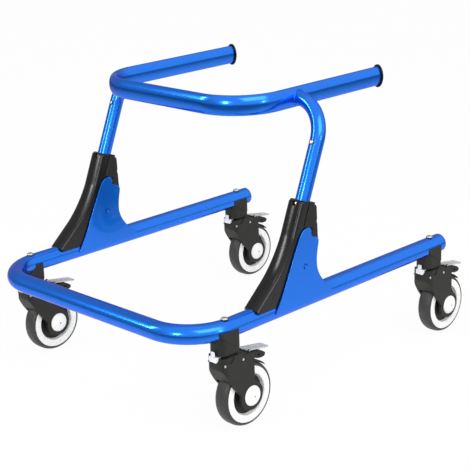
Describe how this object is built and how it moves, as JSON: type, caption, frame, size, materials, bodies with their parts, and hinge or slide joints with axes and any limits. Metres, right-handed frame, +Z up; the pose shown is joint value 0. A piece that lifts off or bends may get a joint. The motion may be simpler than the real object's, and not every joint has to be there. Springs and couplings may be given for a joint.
{
  "type": "gait trainer",
  "caption": "Low U-shaped tube frame on swivel casters with brake levers, folding side columns with latches, and a height-adjustable U-shaped handlebar open to the rear.",
  "frame": {"origin": "middle of the footprint, on the floor", "axes": "+Z up, the user faces -Y, the user's left is +X"},
  "size_m": [0.639, 0.8356, 0.6015],
  "materials": {
    "blue_paint": "metallic candy-blue lacquer over steel tube, glossy",
    "black_plastic": "black moulded plastic, semi-matt",
    "white_plastic": "off-white moulded plastic",
    "pale_grey_plastic": "pale grey, slightly clear plastic",
    "tyre": "dark grey solid rubber",
    "bright_steel": "zinc-plated steel",
    "warm_steel": "yellow-passivated pin",
    "plain_steel": "bare steel"
  },
  "bodies": {
    "base": {"base_frame": "blue_paint", "left_rail_plug": "black_plastic", "left_inner_plate": "blue_paint", "left_outer_plate": "blue_paint", "left_pivot_pin": "bright_steel", "right_rail_plug": "black_plastic", "right_inner_plate": "blue_paint", "right_outer_plate": "blue_paint", "right_pivot_pin": "bright_steel", "front_left_mount_block": "black_plastic", "front_left_stem_bolt": "bright_steel", "front_right_mount_block": "black_plastic", "front_right_stem_bolt": "bright_steel", "rear_left_mount_block": "black_plastic", "rear_left_stem_bolt": "bright_steel", "rear_right_mount_block": "black_plastic", "rear_right_stem_bolt": "bright_steel"},
    "column": {"left_shroud": "black_plastic", "left_sleeve": "plain_steel", "right_shroud": "black_plastic", "right_sleeve": "plain_steel"},
    "handle": {"handlebar": "blue_paint", "left_upright": "blue_paint", "left_handle_cap": "black_plastic", "right_upright": "blue_paint", "right_handle_cap": "black_plastic"},
    "left_latch": {"left_latch": "black_plastic"},
    "left_height_pin": {"left_height_pin": "warm_steel"},
    "right_latch": {"right_latch": "black_plastic"},
    "right_height_pin": {"right_height_pin": "warm_steel"},
    "left_upper_button": {"left_upper_button": "bright_steel"},
    "right_upper_button": {"right_upper_button": "bright_steel"},
    "front_left_fork": {"front_left_fork": "black_plastic", "front_left_axle": "white_plastic"},
    "front_left_wheel": {"front_left_rim": "white_plastic", "front_left_tyre": "tyre"},
    "front_left_brake_pedal": {"front_left_brake_pedal": "black_plastic"},
    "front_left_swivel_tab": {"front_left_swivel_tab": "white_plastic"},
    "front_left_drag_tab": {"front_left_drag_tab": "pale_grey_plastic"},
    "front_right_fork": {"front_right_fork": "black_plastic", "front_right_axle": "white_plastic"},
    "front_right_wheel": {"front_right_rim": "white_plastic", "front_right_tyre": "tyre"},
    "front_right_brake_pedal": {"front_right_brake_pedal": "black_plastic"},
    "front_right_swivel_tab": {"front_right_swivel_tab": "white_plastic"},
    "front_right_drag_tab": {"front_right_drag_tab": "pale_grey_plastic"},
    "rear_left_fork": {"rear_left_fork": "black_plastic", "rear_left_axle": "white_plastic"},
    "rear_left_wheel": {"rear_left_rim": "white_plastic", "rear_left_tyre": "tyre"},
    "rear_left_brake_pedal": {"rear_left_brake_pedal": "black_plastic"},
    "rear_left_swivel_tab": {"rear_left_swivel_tab": "white_plastic"},
    "rear_left_drag_tab": {"rear_left_drag_tab": "pale_grey_plastic"},
    "rear_right_fork": {"rear_right_fork": "black_plastic", "rear_right_axle": "white_plastic"},
    "rear_right_wheel": {"rear_right_rim": "white_plastic", "rear_right_tyre": "tyre"},
    "rear_right_brake_pedal": {"rear_right_brake_pedal": "black_plastic"},
    "rear_right_swivel_tab": {"rear_right_swivel_tab": "white_plastic"},
    "rear_right_drag_tab": {"rear_right_drag_tab": "pale_grey_plastic"}
  },
  "joints": [
    {"name": "fold", "type": "hinge", "parent": "base", "child": "column", "pos_m": [0, -0.11328, 0.277], "axis": [-1, 0, 0], "range_deg": [0, 75]},
    {"name": "height", "type": "slide", "parent": "column", "child": "handle", "axis": [0, 0.3759, 0.9267], "range_m": [-0.075, 0.05]},
    {"name": "left_latch_lift", "type": "slide", "parent": "column", "child": "left_latch", "axis": [0, 0.3759, 0.9267], "range_m": [0, 0.017]},
    {"name": "left_height_pin_pull", "type": "slide", "parent": "column", "child": "left_height_pin", "axis": [0, -0.9267, 0.3759], "range_m": [0, 0.004], "stiffness_N_per_m": 1000, "springref_m": -0.002},
    {"name": "right_latch_lift", "type": "slide", "parent": "column", "child": "right_latch", "axis": [0, 0.3759, 0.9267], "range_m": [0, 0.017]},
    {"name": "right_height_pin_pull", "type": "slide", "parent": "column", "child": "right_height_pin", "axis": [0, -0.9267, 0.3759], "range_m": [0, 0.004], "stiffness_N_per_m": 1000, "springref_m": -0.002},
    {"name": "left_upper_button_press", "type": "slide", "parent": "handle", "child": "left_upper_button", "axis": [0, 0.9267, -0.3759], "range_m": [0, 0.003], "stiffness_N_per_m": 1000, "springref_m": -0.002},
    {"name": "right_upper_button_press", "type": "slide", "parent": "handle", "child": "right_upper_button", "axis": [0, 0.9267, -0.3759], "range_m": [0, 0.003], "stiffness_N_per_m": 1000, "springref_m": -0.002},
    {"name": "front_left_swivel", "type": "hinge", "parent": "base", "child": "front_left_fork", "pos_m": [0.2885, -0.31312, 0.15], "axis": [0, 0, 1], "continuous": true},
    {"name": "front_left_roll", "type": "hinge", "parent": "front_left_fork", "child": "front_left_wheel", "pos_m": [0.2885, -0.26963, 0.0635], "axis": [1, 0, 0], "continuous": true},
    {"name": "front_left_brake", "type": "hinge", "parent": "front_left_fork", "child": "front_left_brake_pedal", "pos_m": [0.2885, -0.29013, 0.143], "axis": [-1, 0, 0], "range_deg": [0, 5]},
    {"name": "front_left_swivel_lock", "type": "hinge", "parent": "front_left_fork", "child": "front_left_swivel_tab", "pos_m": [0.2885, -0.33563, 0.143], "axis": [-1, 0, 0], "range_deg": [0, 6]},
    {"name": "front_left_drag", "type": "hinge", "parent": "front_left_fork", "child": "front_left_drag_tab", "pos_m": [0.2885, -0.26562, 0.15038], "axis": [1, 0, 0], "range_deg": [0, 35]},
    {"name": "front_right_swivel", "type": "hinge", "parent": "base", "child": "front_right_fork", "pos_m": [-0.2885, -0.31312, 0.15], "axis": [0, 0, 1], "continuous": true},
    {"name": "front_right_roll", "type": "hinge", "parent": "front_right_fork", "child": "front_right_wheel", "pos_m": [-0.2885, -0.26963, 0.0635], "axis": [1, 0, 0], "continuous": true},
    {"name": "front_right_brake", "type": "hinge", "parent": "front_right_fork", "child": "front_right_brake_pedal", "pos_m": [-0.2885, -0.29013, 0.143], "axis": [-1, 0, 0], "range_deg": [0, 5]},
    {"name": "front_right_swivel_lock", "type": "hinge", "parent": "front_right_fork", "child": "front_right_swivel_tab", "pos_m": [-0.2885, -0.33563, 0.143], "axis": [-1, 0, 0], "range_deg": [0, 6]},
    {"name": "front_right_drag", "type": "hinge", "parent": "front_right_fork", "child": "front_right_drag_tab", "pos_m": [-0.2885, -0.26562, 0.15038], "axis": [1, 0, 0], "range_deg": [0, 35]},
    {"name": "rear_left_swivel", "type": "hinge", "parent": "base", "child": "rear_left_fork", "pos_m": [0.2885, 0.31083, 0.15], "axis": [0, 0, 1], "continuous": true},
    {"name": "rear_left_roll", "type": "hinge", "parent": "rear_left_fork", "child": "rear_left_wheel", "pos_m": [0.2885, 0.35433, 0.0635], "axis": [1, 0, 0], "continuous": true},
    {"name": "rear_left_brake", "type": "hinge", "parent": "rear_left_fork", "child": "rear_left_brake_pedal", "pos_m": [0.2885, 0.33382, 0.143], "axis": [-1, 0, 0], "range_deg": [0, 5]},
    {"name": "rear_left_swivel_lock", "type": "hinge", "parent": "rear_left_fork", "child": "rear_left_swivel_tab", "pos_m": [0.2885, 0.28832, 0.143], "axis": [-1, 0, 0], "range_deg": [0, 6]},
    {"name": "rear_left_drag", "type": "hinge", "parent": "rear_left_fork", "child": "rear_left_drag_tab", "pos_m": [0.2885, 0.35833, 0.15038], "axis": [1, 0, 0], "range_deg": [0, 35]},
    {"name": "rear_right_swivel", "type": "hinge", "parent": "base", "child": "rear_right_fork", "pos_m": [-0.2885, 0.31083, 0.15], "axis": [0, 0, 1], "continuous": true},
    {"name": "rear_right_roll", "type": "hinge", "parent": "rear_right_fork", "child": "rear_right_wheel", "pos_m": [-0.2885, 0.35433, 0.0635], "axis": [1, 0, 0], "continuous": true},
    {"name": "rear_right_brake", "type": "hinge", "parent": "rear_right_fork", "child": "rear_right_brake_pedal", "pos_m": [-0.2885, 0.33382, 0.143], "axis": [-1, 0, 0], "range_deg": [0, 5]},
    {"name": "rear_right_swivel_lock", "type": "hinge", "parent": "rear_right_fork", "child": "rear_right_swivel_tab", "pos_m": [-0.2885, 0.28832, 0.143], "axis": [-1, 0, 0], "range_deg": [0, 6]},
    {"name": "rear_right_drag", "type": "hinge", "parent": "rear_right_fork", "child": "rear_right_drag_tab", "pos_m": [-0.2885, 0.35833, 0.15038], "axis": [1, 0, 0], "range_deg": [0, 35]}
  ],
  "couplings": [
    {"joint": "left_latch_lift", "follows": "fold", "m_per_rad": 0.0125},
    {"joint": "right_latch_lift", "follows": "fold", "m_per_rad": 0.0125}
  ]
}
